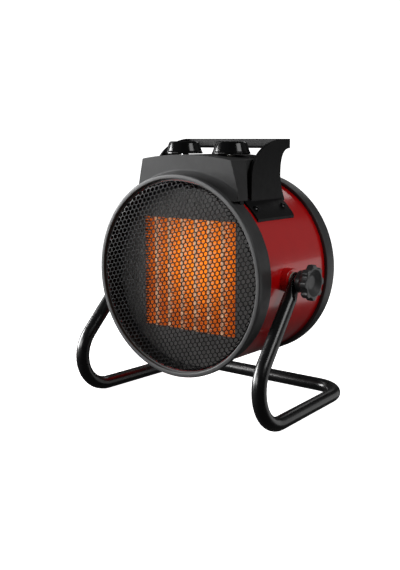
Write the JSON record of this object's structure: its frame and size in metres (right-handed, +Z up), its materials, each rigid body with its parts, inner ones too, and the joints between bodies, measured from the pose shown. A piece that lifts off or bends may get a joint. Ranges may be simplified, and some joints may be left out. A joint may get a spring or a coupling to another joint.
{
  "type": "ceramic space heater",
  "caption": "Round fan heater: red drum with mesh front and glowing ceramic element, control box with two dials and grip on top, tilting between the legs of a bent tube stand.",
  "frame": {"origin": "on the floor, at the middle of the heater's box seen from above", "axes": "+X to the right of someone facing the heater, +Y from its front to its back along the drum's axis, +Z up"},
  "size_m": [0.2786, 0.2048, 0.3],
  "materials": {
    "stand_enamel": "gloss black enamel",
    "shell_red": "gloss red enamel",
    "bezel_black": "satin black enamel",
    "mesh_black": "satin black",
    "fin_aluminium": "matt, glowing",
    "heating_ceramic": "matt",
    "holder_ceramic": "matt",
    "baffle_steel": "dull",
    "zinc_steel": "zinc plated",
    "motor_paint": "satin dark grey",
    "lamination_steel": "stacked laminations",
    "box_plastic": "fine satin",
    "handle_plastic": "fine satin",
    "dial_plastic": "gloss",
    "knob_plastic": "satin",
    "pale_plastic": "matt",
    "screw_black": "blackened steel",
    "lead_insulation": "silicone sleeve"
  },
  "bodies": {
    "stand": {"stand_tube": "stand_enamel"},
    "drum": {"drum_shell": "shell_red", "pivot_boss_right": "shell_red", "pivot_boss_left": "shell_red", "front_bezel": "bezel_black", "rear_bezel": "bezel_black", "front_grille": "mesh_black", "rear_grille": "mesh_black", "fin_bank_1": "fin_aluminium", "fin_bank_2": "fin_aluminium", "fin_bank_3": "fin_aluminium", "fin_bank_4": "fin_aluminium", "fin_bank_5": "fin_aluminium", "fin_bank_6": "fin_aluminium", "fin_bank_7": "fin_aluminium", "ceramic_bar_1": "heating_ceramic", "ceramic_bar_2": "heating_ceramic", "ceramic_bar_3": "heating_ceramic", "ceramic_bar_4": "heating_ceramic", "ceramic_bar_5": "heating_ceramic", "ceramic_bar_6": "heating_ceramic", "element_holder_top": "holder_ceramic", "element_holder_bottom": "holder_ceramic", "thermal_cutout": "holder_ceramic", "element_baffle": "baffle_steel", "motor_bracket": "zinc_steel", "motor_bearing_front": "zinc_steel", "motor_bearing_rear": "zinc_steel", "pivot_nut_right": "zinc_steel", "pivot_nut_left": "zinc_steel", "motor_housing": "motor_paint", "motor_end_cap": "motor_paint", "motor_stator": "lamination_steel", "control_box": "box_plastic", "cable_gland": "box_plastic", "handle": "handle_plastic", "thermostat_body": "pale_plastic", "switch_body": "pale_plastic", "terminal_block": "pale_plastic", "friction_washer_right": "pale_plastic", "friction_washer_left": "pale_plastic", "handle_screw_right_front": "screw_black", "handle_screw_right_rear": "screw_black", "handle_screw_left_front": "screw_black", "handle_screw_left_rear": "screw_black", "motor_lead": "lead_insulation", "element_lead": "lead_insulation"},
    "fan": {"fan_impeller": "motor_paint", "motor_shaft": "zinc_steel", "motor_rotor": "lamination_steel"},
    "thermostat_control": {"thermostat_dial": "dial_plastic", "thermostat_shaft": "zinc_steel"},
    "switch_control": {"switch_dial": "dial_plastic", "switch_shaft": "zinc_steel"},
    "right_clamp_slider": {"clamp_washer_right": "zinc_steel"},
    "right_clamp_screw": {"clamp_knob_right": "knob_plastic", "clamp_stud_right": "zinc_steel"},
    "left_clamp_slider": {"clamp_washer_left": "zinc_steel"},
    "left_clamp_screw": {"clamp_knob_left": "knob_plastic", "clamp_stud_left": "zinc_steel"}
  },
  "joints": [
    {"name": "drum_tilt", "type": "hinge", "parent": "stand", "child": "drum", "pos_m": [0, -0.01512, 0.152], "axis": [1, 0, 0], "range_deg": [-60, 20]},
    {"name": "fan_spin", "type": "hinge", "parent": "drum", "child": "fan", "pos_m": [0, -0.00062, 0.152], "axis": [0, 1, 0], "continuous": true},
    {"name": "thermostat_turn", "type": "hinge", "parent": "drum", "child": "thermostat_control", "pos_m": [0.0329, -0.01762, 0.2836], "axis": [0, 0, -1], "range_deg": [0, 270]},
    {"name": "switch_turn", "type": "hinge", "parent": "drum", "child": "switch_control", "pos_m": [-0.0329, -0.01762, 0.2836], "axis": [0, 0, -1], "range_deg": [0, 135]},
    {"name": "right_clamp_back_off", "type": "slide", "parent": "drum", "child": "right_clamp_slider", "axis": [1, 0, 0], "range_m": [0, 0.002]},
    {"name": "right_clamp_turn", "type": "hinge", "parent": "right_clamp_slider", "child": "right_clamp_screw", "pos_m": [0.13, -0.01512, 0.152], "axis": [1, 0, 0], "range_deg": [0, 720]},
    {"name": "left_clamp_back_off", "type": "slide", "parent": "drum", "child": "left_clamp_slider", "axis": [-1, 0, 0], "range_m": [0, 0.002]},
    {"name": "left_clamp_turn", "type": "hinge", "parent": "left_clamp_slider", "child": "left_clamp_screw", "pos_m": [-0.13, -0.01512, 0.152], "axis": [-1, 0, 0], "range_deg": [0, 720]}
  ],
  "couplings": [
    {"joint": "right_clamp_back_off", "follows": "right_clamp_turn", "m_per_rad": 0.000159},
    {"joint": "left_clamp_back_off", "follows": "left_clamp_turn", "m_per_rad": 0.000159}
  ]
}
